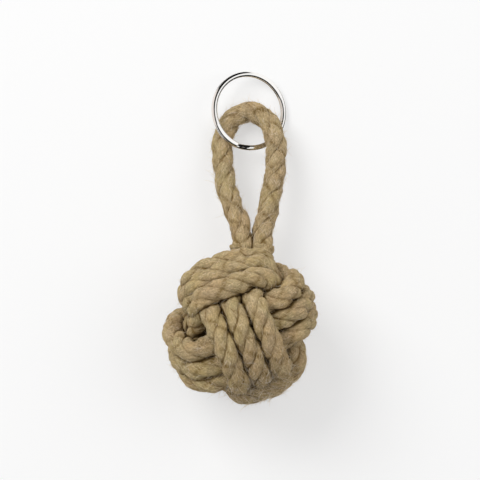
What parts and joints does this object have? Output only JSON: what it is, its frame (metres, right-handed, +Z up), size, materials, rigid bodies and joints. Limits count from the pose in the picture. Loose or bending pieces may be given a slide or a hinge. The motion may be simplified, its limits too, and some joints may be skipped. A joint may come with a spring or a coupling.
{
  "type": "rope keychain",
  "caption": "Rope keychain: a round ball knot of laid jute rope with a rope eye and a steel split ring.",
  "frame": {"origin": "middle of the bounding box, on the table that the keychain lies on", "axes": "+Y from the knot towards the ring, +Z up from the table, +X to the right as seen from above"},
  "size_m": [0.0596, 0.1248, 0.0574],
  "materials": {
    "rope": "rough natural fibre",
    "core": "plain",
    "ring": "polished nickel plate"
  },
  "bodies": {
    "knot": {"core_ball": "core", "front_turns": "rope", "side_turns": "rope", "top_turns": "rope"},
    "eye": {"rope_eye": "rope"},
    "ring": {"split_ring": "ring"}
  },
  "joints": [
    {"name": "eye_bend", "type": "hinge", "parent": "knot", "child": "eye", "pos_m": [0.00445, 0.0008, 0.01835], "axis": [1, 0, 0], "range_deg": [-30, 70]},
    {"name": "ring_swing", "type": "hinge", "parent": "eye", "child": "ring", "pos_m": [0.0034, 0.0474, 0.00674], "axis": [0.2857, -0.9583, 0], "range_deg": [-76, 0]}
  ]
}
